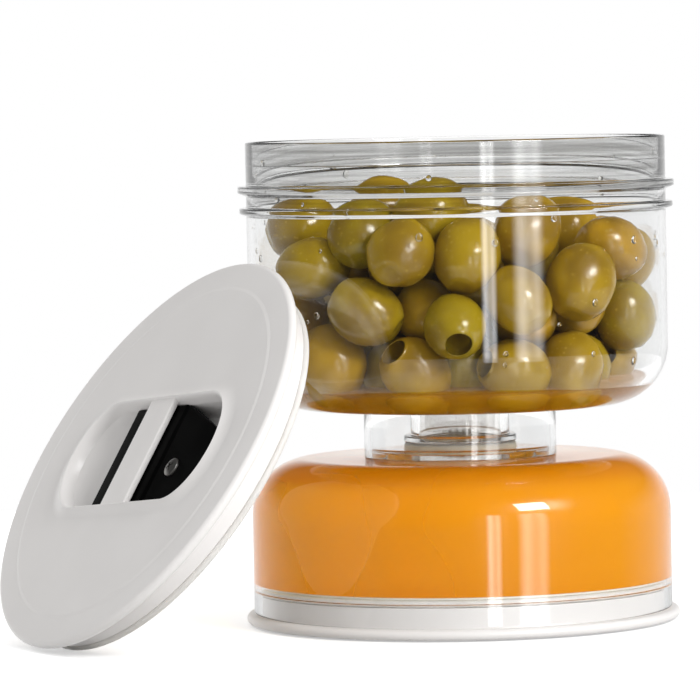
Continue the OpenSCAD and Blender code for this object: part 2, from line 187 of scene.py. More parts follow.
def soft_lamp(name, azimuth, elevation, width, height, power):
    """A rectangular lamp that faces the jar, at an angle to the right of the camera."""
    data = bpy.data.lights.new(name, "AREA")
    data.shape = "RECTANGLE"
    data.size = width
    data.size_y = height
    data.energy = power
    lamp = bpy.data.objects.new(name, data)
    scene.collection.objects.link(lamp)
    a = math.radians(azimuth)
    e = math.radians(elevation)
    away = Vector((math.sin(a) * math.cos(e), -math.cos(a) * math.cos(e), math.sin(e)))
    lamp.location = LAMP_AIM + LAMP_DISTANCE * away
    lamp.rotation_euler = away.to_track_quat("Z", "Y").to_euler()
    lamp.visible_camera = False
    return lamp


def soft_edges(lamp):
    """Let a pane fade towards its sides, as a window with thin curtains does."""
    lamp.data.use_nodes = True
    tree = lamp.data.node_tree
    ramp = new_node(tree, "ValToRGB")
    ramp.color_ramp.interpolation = "EASE"
    for end in ramp.color_ramp.elements:
        end.color = BLACK
    for stop, level in PANE_FADE:
        ramp.color_ramp.elements.new(stop).color = (level, level, level, 1)
    across = axes_of(tree, new_node(tree, "NewGeometry").outputs["Parametric"])
    tree.links.new(across["X"], ramp.inputs["Fac"])
    tree.links.new(ramp.outputs["Color"], tree.nodes["Emission"].inputs["Strength"])


for name, azimuth, width, power in (("pane_near", 17, 0.28, 6.0), ("pane_far", 39, 0.6, 9.0)):
    soft_edges(soft_lamp(name, azimuth, PANE_ELEVATION, width, PANE_HEIGHT, power))
soft_lamp("key", 42, 30, 0.5, 0.4, 17.0)
back_window = soft_lamp("back_window", -150, 9, 0.4, 0.4, 15.0)
back_window.visible_glossy = False
back_window.visible_transmission = False
print("lamps at", LAMP_DISTANCE, "m")

# %% Floor
FLOOR_R = 0.42
FLOOR_STEPS = 96
FLOOR_GREY = (0.72, 0.72, 0.72, 1)
FLOOR_GLOW = 0.46


def new_material(name, values=None):
    """A material, its node tree and its Principled shader with plain input values."""
    material = bpy.data.materials.new(name)
    material.use_nodes = True
    shader = material.node_tree.nodes["Principled BSDF"]
    feed(material.node_tree, shader, values or {})
    return material, material.node_tree, shader


def show_surface(tree, shader):
    """Use a shader's output as the surface of a material."""
    tree.links.new(shader, tree.nodes["Material Output"].inputs["Surface"])


bpy.ops.mesh.primitive_circle_add(vertices=FLOOR_STEPS, radius=FLOOR_R, fill_type="NGON",
                                  location=(0, 0, 0))
floor = bpy.context.object
bpy.ops.object.mode_set(mode="EDIT")
bpy.ops.mesh.inset(thickness=FLOOR_R / 3)
bpy.ops.object.mode_set(mode="OBJECT")
floor.name = "floor"
floor.visible_glossy = False
matt = {"Base Color": FLOOR_GREY, "Roughness": 0.9, "Specular IOR Level": 0.0}
floor_paint, tree, sheet = new_material("floor_paint", matt)
glow = new_node(tree, "Emission", {"Strength": FLOOR_GLOW})
both = new_node(tree, "AddShader", {0: sheet.outputs[0], 1: glow.outputs[0]})
ray = new_node(tree, "LightPath").outputs
camera_or_gloss = maths(tree, "MAXIMUM", ray["Is Camera Ray"], ray["Is Glossy Ray"])
any_seen = maths(tree, "MAXIMUM", camera_or_gloss, ray["Is Transmission Ray"])
show_surface(tree, mixed_shaders(tree, any_seen, sheet.outputs[0], both.outputs[0]))
floor.data.materials.append(floor_paint)
print("floor", 2 * FLOOR_R, "m across")

# %% [markdown]
# ## Finishes
# Moulded plastic is never quite even: it has a fine grain from the mould and slow changes of shade and
# gloss where it flowed and was handled. Both are wanted on every plastic here, so they are one node group,
# built once and placed in each material with its own scale.

# %% Moulded surface group
NOISE_SPAN = (0.3, 0.7)


def moulded_group():
    """Node group with a fine Grain height and a slow Mottle value over the surface."""
    group = bpy.data.node_groups.new("moulded_surface", "ShaderNodeTree")
    sockets = (("Grain Scale", "INPUT"), ("Mottle Scale", "INPUT"),
               ("Grain", "OUTPUT"), ("Mottle", "OUTPUT"))
    for socket, way in sockets:
        group.interface.new_socket(socket, in_out=way, socket_type="NodeSocketFloat")
    scales = group.nodes.new("NodeGroupInput").outputs
    results = group.nodes.new("NodeGroupOutput")
    place = new_node(group, "TexCoord").outputs["Object"]
    for socket, detail in (("Grain", 2.0), ("Mottle", 1.5)):
        inputs = {"Vector": place, "Scale": scales[socket + " Scale"], "Detail": detail}
        feed(group, results, {socket: new_node(group, "TexNoise", inputs).outputs["Fac"]})
    return group


MOULDED = moulded_group()


def moulded_surface(tree, grain_scale, mottle_scale):
    """Place the group in a material and give its outputs."""
    scales = {"Grain Scale": grain_scale, "Mottle Scale": mottle_scale}
    return new_node(tree, "Group", scales, node_tree=MOULDED).outputs


def ranged(tree, source, low, high):
    """Map the usual span of noise to low and high, with soft ends."""
    return span(tree, source, *NOISE_SPAN, low, high, "SMOOTHSTEP")


def bumped(tree, height, strength, distance):
    """A bump from a height, with a distance in metres."""
    inputs = {"Height": height, "Strength": strength, "Distance": distance}
    return new_node(tree, "Bump", inputs).outputs["Normal"]


print("node group:", MOULDED.name)

# %% Moulded finishes
GRAIN_HEIGHT = 0.00002


def moulded_plastic(name, dark, light, rough, scales, grain_strength, values=None):
    """A moulded plastic: two close shades, uneven gloss and a fine grain."""
    material, tree, shader = new_material(name, values)
    surface = moulded_surface(tree, *scales)
    feed(tree, shader, {
        "Base Color": blended(tree, ranged(tree, surface["Mottle"], 0.0, 1.0), dark, light),
        "Roughness": ranged(tree, surface["Mottle"], *rough),
        "Normal": bumped(tree, surface["Grain"], grain_strength, GRAIN_HEIGHT),
    })
    return material


white_plastic = moulded_plastic("lid_white", (0.772, 0.752, 0.737), (0.784, 0.764, 0.749),
                                (0.29, 0.35), (1400, 60), 0.01)
black_plastic = moulded_plastic("rocker_black", (0.002, 0.002, 0.002), (0.004, 0.004, 0.004),
                                (0.29, 0.36), (1400, 60), 0.1, {"IOR": 1.06})
silicone = moulded_plastic("seal_silicone", (0.90, 0.875, 0.84), (0.94, 0.92, 0.89),
                           (0.42, 0.55), (1400, 80), 0.2, {"Transmission Weight": 0.3, "IOR": 1.41})
# The strainer is a clear basket: its warm cream colour is painted orange light from the brine below.
frosted = moulded_plastic("strainer_painted_glow", (0.95, 0.74, 0.50), (0.97, 0.80, 0.58),
                          (0.29, 0.36), (900, 120), 0.1, {"Alpha": 0.15, "IOR": 1.1})
steel = moulded_plastic("screw_steel", (0.40, 0.39, 0.37), (0.55, 0.54, 0.52),
                        (0.29, 0.36), (2000, 300), 0.2, {"Metallic": 1.0})
print("moulded finishes:", white_plastic.name, black_plastic.name, silicone.name, frosted.name, steel.name)

# %% [markdown]
# ## Clear plastic
# The vessels are a hard clear plastic. It refracts, it is a little grey where one looks along the wall, and
# its gloss is broken by faint smears. The grey comes from absorption inside the wall, so it is the same
# from every side. Round the mouth a painted shade in fine level lines makes it greyer, for the darker look
# of the thick rim. Light on its way to a lamp or from a matt surface passes straight through, because clear
# plastic hardly casts a shadow.

# %% Clear plastic
# Heights of the painted grey shade round the mouth, and the stretch of its level lines.
MOUTH_SCUFF_Z = (108.0, 116.0)
SCUFF_SCALE = (12, 12, 700)
SMEAR_HEIGHT = 0.00006


def let_light_pass(tree, shader, tint):
    """Let shadow rays and rays from matt surfaces go straight through, with a tint."""
    through = new_node(tree, "BsdfTransparent", {"Color": (*tint, 1)})
    ray = new_node(tree, "LightPath").outputs
    passing = maths(tree, "MAXIMUM", ray["Is Shadow Ray"], ray["Is Diffuse Ray"])
    show_surface(tree, mixed_shaders(tree, passing, shader, through.outputs[0]))


def absorb_light(tree, colour, density):
    """Colour the inside of a clear piece by its depth."""
    depth = new_node(tree, "VolumeAbsorption", {"Color": (*colour, 1), "Density": density})
    tree.links.new(depth.outputs[0], tree.nodes["Material Output"].inputs["Volume"])


def clear_plastic_finish():
    """Clear wall with faint smears, and painted grey shade in level lines round the mouth."""
    material, tree, shader = new_material("vessel_clear", {"Transmission Weight": 1.0, "IOR": 1.49})
    surface = moulded_surface(tree, 130, 45)
    place = new_node(tree, "TexCoord").outputs["Object"]
    # Painted shade: a grey band round the mouth, streaked into fine level lines, darkens the thick rim.
    mouth = span(tree, axes_of(tree, place)["Z"], MOUTH_SCUFF_Z[0] * MM, MOUTH_SCUFF_Z[1] * MM)
    rubbed = new_node(tree, "Mapping", {"Vector": place, "Scale": SCUFF_SCALE}).outputs["Vector"]
    lines = new_node(tree, "TexNoise", {"Vector": rubbed, "Scale": 1.0, "Detail": 3.0}).outputs["Fac"]
    scuff = maths(tree, "MULTIPLY", mouth, ranged(tree, lines, 0.05, 1.0))
    feed(tree, shader, {
        # The darker colour is the painted shade round the mouth.
        "Base Color": blended(tree, scuff, (0.985, 0.988, 0.988), (0.52, 0.52, 0.51)),
        "Roughness": ranged(tree, surface["Mottle"], 0.01, 0.035),
        "Normal": bumped(tree, surface["Grain"], 0.1, SMEAR_HEIGHT),
    })
    let_light_pass(tree, shader.outputs[0], (0.98, 0.98, 0.98))
    absorb_light(tree, (0.66, 0.68, 0.68), 18.0)
    return material


clear_plastic = clear_plastic_finish()
print("clear finish:", clear_plastic.name)

# %% Finishes for the CAD nodes that stay
def give_finish(piece, finish):
    """Give a piece one finish."""
    piece.data.materials.clear()
    piece.data.materials.append(finish)


for name, node in nodes.items():
    finish = white_plastic
    if "gasket" in name or "seal" in name:
        finish = silicone
    if "pin" in name or "screw" in name or "spring" in name:
        finish = steel
    if name.endswith("rocker"):
        finish = black_plastic
    if name in ("upper_vessel", "lower_vessel", "neck_collar"):
        finish = clear_plastic
    # The strainer's finish carries painted orange light from the brine.
    if name == "strainer":
        finish = frosted
    give_finish(node, finish)
print("every node has a finish")

# %% [markdown]
# ## Turned pieces
# A vessel is a body of revolution, so a maker would turn it. A ring of points is added and extruded along
# the half section, one ring for each point, and the last ring is bridged to the first. Corners of a moulded
# piece are never sharp, so each corner of the section can carry a radius, which is drawn as a short arc.

# %% Hand moves
def select_only(*pieces):
    """Select these pieces alone, with the first one active."""
    bpy.ops.object.select_all(action="DESELECT")
    for piece in pieces:
        piece.select_set(True)
    if pieces:
        bpy.context.view_layer.objects.active = pieces[0]


def apply_place():
    """Put the place, turn and size of the selected pieces into their meshes."""
    bpy.ops.object.transform_apply(location=True, rotation=True, scale=True)


def draw_out(x, y, z):
    """Extrude what is selected by a step in millimetres."""
    bpy.ops.mesh.extrude_region_move(TRANSFORM_OT_translate={"value": (x * MM, y * MM, z * MM)})


def move(x, y, z):
    """Move what is selected by a step in millimetres."""
    bpy.ops.transform.translate(value=(x * MM, y * MM, z * MM))


def stretch(x, y, z, about=(0, 0, 0)):
    """Scale what is selected about a point."""
    bpy.ops.transform.resize(value=(x, y, z), center_override=about)


# %% Turning helpers
RING_STEPS = 160
ARC_STEPS = 7
WIDE_ARC = 5
SMOOTH_ANGLE = math.radians(35)
BEVEL_ANGLE = math.radians(15)
MERGE_DISTANCE = 0.000002


def rounded_section(corners):
    """Points of a closed section: each corner is (radius, height, fillet) in millimetres."""
    points = []
    count = len(corners)
    for i, (x, y, fillet) in enumerate(corners):
        here = Vector((x, y))
        back = Vector(corners[i - 1][:2]) - here
        ahead = Vector(corners[(i + 1) % count][:2]) - here
        if fillet == 0:
            points.append(here)
            continue
        half = back.angle(ahead) / 2
        reach = fillet / math.tan(half)
        start = here + back.normalized() * reach
        end = here + ahead.normalized() * reach
        middle = here + (back.normalized() + ahead.normalized()).normalized() * fillet / math.sin(half)
        steps = ARC_STEPS if fillet < WIDE_ARC else 3 * ARC_STEPS
        sweep = (start - middle).angle_signed(end - middle)
        for k in range(steps + 1):
            spoke = start - middle
            spoke.rotate(Matrix.Rotation(-sweep * k / steps, 2))
            points.append(middle + spoke)
    return points


def start_ring(name, radius, height, steps):
    """A ring of points round the axis, in edit mode and selected."""
    select_only()
    bpy.ops.mesh.primitive_circle_add(vertices=steps, radius=radius * MM, location=(0, 0, height * MM),
                                      rotation=(0, 0, math.pi / steps))
    piece = bpy.context.object
    piece.name = name
    piece.data.name = name
    apply_place()
    bpy.ops.object.mode_set(mode="EDIT")
    bpy.ops.mesh.select_mode(type="EDGE")
    bpy.ops.mesh.select_all(action="SELECT")
    return piece


def draw_section(name, corners, steps=RING_STEPS):
    """Draw a section round the axis, ring by ring, and stay in edit mode."""
    points = rounded_section(corners)
    piece = start_ring(name, points[0].x, points[0].y, steps)
    for now, then in zip(points, points[1:]):
        draw_out(0, 0, then.y - now.y)
        ratio = then.x / now.x
        stretch(ratio, ratio, 1)
    return piece


def bridge_open_ends():
    """Join the two rings that are still open."""
    bpy.ops.mesh.select_all(action="DESELECT")
    bpy.ops.mesh.select_non_manifold()
    bpy.ops.mesh.bridge_edge_loops()


def finish_mesh(piece, finish, smooth=SMOOTH_ANGLE):
    """Merge, turn the faces outwards, leave edit mode, smooth and give the finish."""
    bpy.ops.mesh.select_all(action="SELECT")
    bpy.ops.mesh.remove_doubles(threshold=MERGE_DISTANCE)
    bpy.ops.mesh.normals_make_consistent(inside=False)
    bpy.ops.object.mode_set(mode="OBJECT")
    bpy.ops.object.shade_smooth_by_angle(angle=smooth)
    give_finish(piece, finish)
    return piece


def turned(name, corners, finish):
    """A closed section turned round the jar's axis."""
    piece = draw_section(name, corners)
    bridge_open_ends()
    return finish_mesh(piece, finish)


# %% [markdown]
# ## Vessels and collar
# The sections repeat the sizes of the CAD model, with the small radii that the mould gives each edge. The
# upper vessel has two grip rings, a ledge inside its mouth and a spout with a shoulder below its floor. The
# lower vessel is the same kind of can upside down, with a boss that holds the collar and the spout gasket.

# %% Vessel sizes
VESSEL_R = 56.0
INNER_R = 54.2
MOUTH_R = 54.8
UPPER_Z = 57.6
RIM_Z = 129.0
LEDGE_Z = 122.8
FLOOR_T = 2.0
UPPER_CORNER = 16.0
LOWER_CORNER = 15.0
WALL = 1.8
LOWER_FOOT_Z = 3.2
LOWER_TOP_Z = 44.3
LOWER_LEDGE_Z = 9.4
HAIR = 0.02
RIM_R = (VESSEL_R - MOUTH_R) / 2 - HAIR
SPOUT_R = 13.25
SPOUT_INNER_R = 11.05
SPOUT_END_Z = 41.5
SPOUT_ROOT = 0.8
SHOULDER_R = 15.0
SHOULDER_Z = 48.45
SHOULDER_T = 1.4
STRAINER_R = 15.9
STRAINER_Z = 58.6
BOSS_R = 23.75
BOSS_Z = 47.0
SEAT_R = 15.15
SEAT_Z = 45.6
THROAT_R = 13.55
COLLAR_R = 25.7
COLLAR_GAP = 0.1
LOWER_RING = (111.5, 2.2, 1.85)
UPPER_RING = (117.3, 2.7, 2.25)

# Fillets, from the sharpest edge to the softest.
CRISP = 0.2
EASED = 0.3
SOFT = 0.4
ROUND = 0.5


def grip_ring(top, height, out):
    """Corners of a grip ring on the outer wall, from its chamfer up."""
    return [(VESSEL_R, top - height, EASED), (VESSEL_R + out, top - height * 2 / 3, SOFT),
            (VESSEL_R + out, top, ROUND), (VESSEL_R, top, ROUND)]


# %% Upper vessel
upper_section = [
    (SPOUT_INNER_R, SPOUT_END_Z, SOFT), (SPOUT_R, SPOUT_END_Z, SOFT),
    (SPOUT_R, SHOULDER_Z, CRISP), (SHOULDER_R, SHOULDER_Z, EASED),
    (SHOULDER_R, SHOULDER_Z + SHOULDER_T, EASED), (SPOUT_R, SHOULDER_Z + SHOULDER_T, EASED),
    (SPOUT_R, UPPER_Z, SPOUT_ROOT), (VESSEL_R, UPPER_Z, UPPER_CORNER),
    *grip_ring(*LOWER_RING), *grip_ring(*UPPER_RING),
    (VESSEL_R, RIM_Z, RIM_R), (MOUTH_R, RIM_Z, RIM_R),
    (MOUTH_R, LEDGE_Z, CRISP), (INNER_R, LEDGE_Z, CRISP),
    (INNER_R, UPPER_Z + FLOOR_T, UPPER_CORNER - WALL),
    (STRAINER_R, UPPER_Z + FLOOR_T, CRISP), (STRAINER_R, STRAINER_Z, CRISP),
    (SPOUT_INNER_R, STRAINER_Z, SOFT),
]
upper_can = turned("upper_can", upper_section, clear_plastic)
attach(upper_can, "upper")
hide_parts("upper_vessel")
print("upper can:", len(upper_can.data.polygons), "faces")

# %% Lower vessel
lower_section = [
    (THROAT_R, LOWER_TOP_Z - FLOOR_T, EASED), (THROAT_R, SEAT_Z, CRISP),
    (SEAT_R, SEAT_Z, CRISP), (SEAT_R, BOSS_Z, SOFT), (BOSS_R, BOSS_Z, ROUND), (BOSS_R, LOWER_TOP_Z, EASED),
    (VESSEL_R, LOWER_TOP_Z, LOWER_CORNER), (VESSEL_R, LOWER_FOOT_Z, RIM_R),
    (MOUTH_R, LOWER_FOOT_Z, RIM_R), (MOUTH_R, LOWER_LEDGE_Z, CRISP), (INNER_R, LOWER_LEDGE_Z, CRISP),
    (INNER_R, LOWER_TOP_Z - FLOOR_T, LOWER_CORNER - WALL),
]
lower_can = turned("lower_can", lower_section, clear_plastic)
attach(lower_can, "lower")
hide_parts("lower_vessel")
print("lower can:", len(lower_can.data.polygons), "faces")

# %% Neck collar
collar_section = [
    (COLLAR_R - WALL, LOWER_TOP_Z, CRISP), (COLLAR_R, LOWER_TOP_Z, CRISP),
    (COLLAR_R, UPPER_Z - COLLAR_GAP, SOFT), (COLLAR_R - WALL, UPPER_Z - COLLAR_GAP, SOFT),
]
collar = turned("collar", collar_section, clear_plastic)
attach(collar, "lower")
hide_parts("neck_collar")
print("collar:", len(collar.data.polygons), "faces")

# %% [markdown]
# ## Lid cover
# The cover is a white moulded disc with a thin rolled edge, a plug below it and a finger well in its
# middle. The well's mouth is a soft bead that rises from the slightly dished face, so it can't come from a
# turned section alone. The brim and plug are turned from one ring, the mouth is a second ring drawn out to
# a long oval, and the face is bridged between.

# %% Picking points by place
NEAR = 0.01
MARGIN = 0.1


def pick(piece, test, kind="VERT"):
    """Select the points or edges of a piece in edit mode whose middle, in millimetres, passes a test."""
    bpy.ops.mesh.select_mode(type=kind)
    bpy.ops.mesh.select_all(action="DESELECT")
    shape = bmesh.from_edit_mesh(piece.data)
    if kind == "VERT":
        for point in shape.verts:
            point.select_set(test(point.co / MM))
        shape.select_flush(True)
    else:
        for edge in shape.edges:
            if test((edge.verts[0].co + edge.verts[1].co) / 2 / MM):
                edge.select_set(True)
    bmesh.update_edit_mesh(piece.data)


def long_oval(piece, length, width, end, depth, steps):
    """Add a ring in edit mode and draw it out to a long oval, whose bowed ends are as long as end."""
    bpy.ops.mesh.select_all(action="DESELECT")
    bpy.ops.mesh.primitive_circle_add(vertices=steps, radius=width / 2 * MM, location=(0, 0, -depth * MM),
                                      rotation=(0, 0, math.pi / steps))
    stretch(2 * end / width, 1, 1)
    wide = width / 2 + MARGIN
    long = length / 2 + MARGIN
    for side in (1, -1):
        pick(piece, lambda p: abs(p.z + depth) < NEAR and p.xy.length < wide and p.x * side > 0)
        move(side * (length / 2 - end), 0, 0)
    pick(piece, lambda p: abs(p.z + depth) < NEAR and abs(p.y) < wide and abs(p.x) < long)
    bpy.ops.mesh.select_mode(type="EDGE")


# %% Lid cover
LID_STEPS = 128
FACE_FLAT_R = 49.6
FACE_RING_IN = 1.5
FACE_RING_EDGE = 0.4
FACE_RING_OUT = 0.6
FACE_RING_DROP = 0.2
FACE_RING_R = 0.8
FLANGE_R = 58.0
FLANGE_T = 3.1
BRIM_DROP = 0.4
PLUG_R = 53.6
SKIRT_DEPTH = 8.6
SHELL_T = 2.0
UNDERSIDE = SHELL_T + 0.2
LIP_LONG = (69.6, 82.0)
LIP_WIDE = (30.0, 39.0)
LIP_END = 12.5
LIP_DROP = 2.8
LIP_CREST = 0.3
LIP_RISE = 0.5
FACE_DISH = 0.7
LIP_STEPS = 20


def lip_height(share):
    """Height of the well's lip: up from the well to its crest, then softly down to the face."""
    if share < LIP_CREST:
        return LIP_RISE - (LIP_DROP + LIP_RISE) * (1 - share / LIP_CREST) ** 2
    return (LIP_RISE + FACE_DISH) * ((1 - share) / (1 - LIP_CREST)) ** 2 - FACE_DISH


def draw_lip(piece):
    """Draw the well's mouth from its oval outwards over the bead, ring by ring."""
    long_oval(piece, LIP_LONG[0], LIP_WIDE[0], LIP_END, LIP_DROP, LID_STEPS)
    before = (LIP_LONG[0], LIP_WIDE[0], -LIP_DROP)
    for k in range(1, LIP_STEPS + 1):
        share = k / LIP_STEPS
        after = (LIP_LONG[0] + (LIP_LONG[1] - LIP_LONG[0]) * share,
                 LIP_WIDE[0] + (LIP_WIDE[1] - LIP_WIDE[0]) * share, lip_height(share))
        draw_out(0, 0, after[2] - before[2])
        stretch(after[0] / before[0], after[1] / before[1], 1)
        before = after


def bridge_face(piece):
    """Bridge the two open rings of the face, from the lip to the brim."""
    pick(piece, lambda p: p.z > -FACE_DISH - NEAR, "EDGE")
    for edge in bmesh.from_edit_mesh(piece.data).edges:
        if edge.select and not edge.is_boundary:
            edge.select_set(False)
    bmesh.update_edit_mesh(piece.data)
    bpy.ops.mesh.bridge_edge_loops()


def lid_cover(name):
    """The lid's cover in its own frame: the edge of the face at height 0, the plug below."""
    edge_r = (FLANGE_T - BRIM_DROP) / 2
    brim = [(FACE_FLAT_R - FACE_RING_IN, 0, 0), (FACE_FLAT_R - FACE_RING_EDGE, 0, FACE_RING_R),
            (FACE_FLAT_R + FACE_RING_OUT, -FACE_RING_DROP, FACE_RING_R), (FLANGE_R, -BRIM_DROP, edge_r),
            (FLANGE_R, -FLANGE_T, edge_r), (PLUG_R, -FLANGE_T, EASED), (PLUG_R, -SKIRT_DEPTH, EASED),
            (PLUG_R - SHELL_T, -SKIRT_DEPTH, EASED), (PLUG_R - SHELL_T, -UNDERSIDE, 0)]
    piece = draw_section(name, brim, LID_STEPS)
    draw_lip(piece)
    bridge_face(piece)
    bridge_open_ends()
    return finish_mesh(piece, white_plastic)


# %% Strap across the well
STRAP_X = -2.0
STRAP_W = 12.4
STRAP_L = 32.8
STRAP_T = 1.8
STRAP_EDGE = 0.55


def start_box(name, place, size):
    """A box in edit mode, at a place and size in millimetres."""
    select_only()
    bpy.ops.mesh.primitive_cube_add(size=1, location=[p * MM for p in place], scale=[s * MM for s in size])
    box = bpy.context.object
    box.name = name
    apply_place()
    bpy.ops.object.mode_set(mode="EDIT")
    return box


def strap_bar(name):
    """The bar across the well, with rounded long edges, a hair below the edge of the face."""
    bar = start_box(name, (STRAP_X, 0, -(STRAP_T / 2 + HAIR)), (STRAP_W, STRAP_L, STRAP_T))
    pick(bar, lambda p: abs(p.y) < MARGIN and abs(p.x - STRAP_X) > MARGIN, "EDGE")
    bpy.ops.mesh.bevel(offset=STRAP_EDGE * MM, segments=4, affect="EDGES")
    return finish_mesh(bar, white_plastic, BEVEL_ANGLE)


def joined(name, pieces):
    """One piece from several."""
    select_only(*pieces)
    bpy.ops.object.join()
    pieces[0].name = name
    pieces[0].data.name = name
    return pieces[0]


cover_shape = joined("top_lid_cover", [lid_cover("cover_shell"), strap_bar("cover_strap")])
print("lid cover:", len(cover_shape.data.polygons), "faces")

# %% [markdown]
# ## Finger pan
# Below the mouth sits a white pan. Its left end rises in a long scoop, so that a fingertip slides under the
# rocker. The pan starts as the same long oval. Each ring below it is drawn towards the right end only,
# which leaves that end upright and lets the left one run down in a curve that carries on from the lip. A
# wall thickness turns the sheet into a real tray.

# %% Finger pan
PAN_LONG = LIP_LONG[0]
PAN_WIDE = LIP_WIDE[0]
PAN_DEPTH = 9.0
PAN_FLOOR_T = 0.8
PAN_DRAFT = 0.998
PAN_INSET = 2
SCOOP_RUN = 16.3
PAN_STEPS = 14


def face_the_sheet(sheet):
    """Make an open sheet's faces look up, so that its thickness goes down, and leave edit mode."""
    bpy.ops.mesh.select_all(action="SELECT")
    bpy.ops.mesh.normals_make_consistent(inside=False)
    bpy.ops.object.mode_set(mode="OBJECT")
    if sum(face.normal.z * face.area for face in sheet.data.polygons) < 0:
        sheet.data.flip_normals()


def thicken(sheet, thickness):
    """Give an open sheet a thickness below it, in millimetres."""
    wall = sheet.modifiers.new("wall", "SOLIDIFY")
    wall.thickness = thickness * MM
    wall.offset = -1
    bpy.ops.object.modifier_apply(modifier="wall")


def finger_pan(name):
    """The well's pan in the lid's frame."""
    # The first ring only makes a piece to draw in: the oval brings its own ring.
    pan = start_ring(name, PAN_WIDE / 2, 0, LID_STEPS)
    bpy.ops.mesh.delete(type="VERT")
    long_oval(pan, PAN_LONG, PAN_WIDE, LIP_END, LIP_DROP, LID_STEPS)
    right_end = (PAN_LONG / 2 * MM, 0, 0)
    length = PAN_LONG
    depth = LIP_DROP
    for k in range(1, PAN_STEPS + 1):
        share = k / PAN_STEPS
        next_depth = LIP_DROP + (PAN_DEPTH - LIP_DROP) * share * (2 - share)
        next_length = PAN_LONG - SCOOP_RUN * share
        draw_out(0, 0, depth - next_depth)
        stretch(next_length / length, PAN_DRAFT, 1, right_end)
        length = next_length
        depth = next_depth
    bpy.ops.mesh.edge_face_add()
    bpy.ops.mesh.inset(thickness=PAN_INSET * MM)
    face_the_sheet(pan)
    thicken(pan, PAN_FLOOR_T)
    bpy.ops.object.mode_set(mode="EDIT")
    return finish_mesh(pan, white_plastic)


pan_shape = finger_pan("top_finger_pan")
print("finger pan:", len(pan_shape.data.polygons), "faces, lowest",
      round(min(v.co.z for v in pan_shape.data.vertices) / MM, 2), "mm")

# %% [markdown]
# ## Rocker
# The black plate under the strap is one moulding: a pressed end on the left, a ridge right of the strap,
# and a lower wing whose two far corners are cut off, one much further than the other. It is drawn as a
# strip from the pressed end, edge by edge, then given its thickness and small rounded edges. A hub block
# below it holds the pivot.

# %% Rocker
PLATE_DEPTH = 2.2
WING_DEPTH = 2.7
WING_DROP = WING_DEPTH - PLATE_DEPTH
PLATE_T = 2.4
PLATE_EDGE = 0.35
PRESS_X = -17.4
RIDGE_X = 8.2
ROCKER_HALF_W = 14.9
WING_X = (9.2, 23.0, 32.6)
WING_CUT_Y = 9.3
WING_END_Y = (5.3, -8.6)
HUB_HALF_L = 8.5
HUB_BOTTOM = 7.4
HUB_INSET = 0.4
HUB_SINK = 0.2
HUB_EDGE = 0.5


def draw_wing(plate):
    """Draw the wing from the ridge, station by station: each is (place, one side, other side)."""
    last = (RIDGE_X, ROCKER_HALF_W, -ROCKER_HALF_W)
    stations = [(RIDGE_X + WING_DROP, ROCKER_HALF_W, -ROCKER_HALF_W),
                (WING_X[0], ROCKER_HALF_W, -ROCKER_HALF_W),
                (WING_X[1], WING_CUT_Y, -ROCKER_HALF_W),
                (WING_X[2], *WING_END_Y)]
    fall = -WING_DROP
    for station in stations:
        pick(plate, lambda p: abs(p.x - last[0]) < NEAR, "EDGE")
        draw_out(station[0] - last[0], 0, fall)
        for was, now in ((last[1], station[1]), (last[2], station[2])):
            pick(plate, lambda p: abs(p.x - station[0]) < NEAR and abs(p.y - was) < NEAR)
            move(0, now - was, 0)
        fall = 0
        last = station


def rocker_plate(name):
    """The rocker's plate in the lid's frame."""
    select_only()
    bpy.ops.mesh.primitive_plane_add(size=1, location=((PRESS_X + RIDGE_X) / 2 * MM, 0, -PLATE_DEPTH * MM))
    plate = bpy.context.object
    plate.name = name
    plate.scale = ((RIDGE_X - PRESS_X) * MM, 2 * ROCKER_HALF_W * MM, 1)
    apply_place()
    bpy.ops.object.mode_set(mode="EDIT")
    draw_wing(plate)
    face_the_sheet(plate)
    thicken(plate, PLATE_T)
    edges = plate.modifiers.new("edges", "BEVEL")
    edges.width = PLATE_EDGE * MM
    edges.segments = 3
    edges.limit_method = "ANGLE"
    edges.angle_limit = math.radians(25)
    bpy.ops.object.modifier_apply(modifier="edges")
    bpy.ops.object.mode_set(mode="EDIT")
    return finish_mesh(plate, black_plastic, BEVEL_ANGLE)


def rocker_hub(name):
    """The block below the plate that turns on the pin."""
    top = PLATE_DEPTH + PLATE_T - HUB_SINK
    hub = start_box(name, (STRAP_X, 0, -(top + HUB_BOTTOM) / 2),
                    (2 * HUB_HALF_L, 2 * (ROCKER_HALF_W - HUB_INSET), HUB_BOTTOM - top))
    pick(hub, lambda p: p.z < -HUB_BOTTOM + MARGIN, "EDGE")
    bpy.ops.mesh.bevel(offset=HUB_EDGE * MM, segments=3, affect="EDGES")
    return finish_mesh(hub, black_plastic, BEVEL_ANGLE)


rocker_shape = joined("top_vent_rocker", [rocker_plate("rocker_plate"), rocker_hub("rocker_hub")])
print("rocker:", len(rocker_shape.data.polygons), "faces")

# %% [markdown]
# ## Vent screw
# A small steel screw holds the seal under the wing. Its head is a low dome with a cross recess and a thin
# rim. The screw is drawn ring by ring from a circle, and the cross is cut by two bars with a boolean,
# where a punch would press it into a real head.

# %% Vent screw
SCREW_X = 16.0
SCREW_Y = -4.5
SCREW_TURN = 0.5
SCREW_STEPS = 40
HEAD_R = 2.6
HEAD_H = 1.15
HEAD_RIM = 0.45
DOME_ANGLES = np.linspace(0.15, 1.4, 8)
SHANK_R = 1.15
SHANK_L = 4.0
CROSS_L = 2.9
CROSS_W = 0.55
CROSS_H = 1.3
RING_NEAR = 0.02
LEVEL_NEAR = 0.005


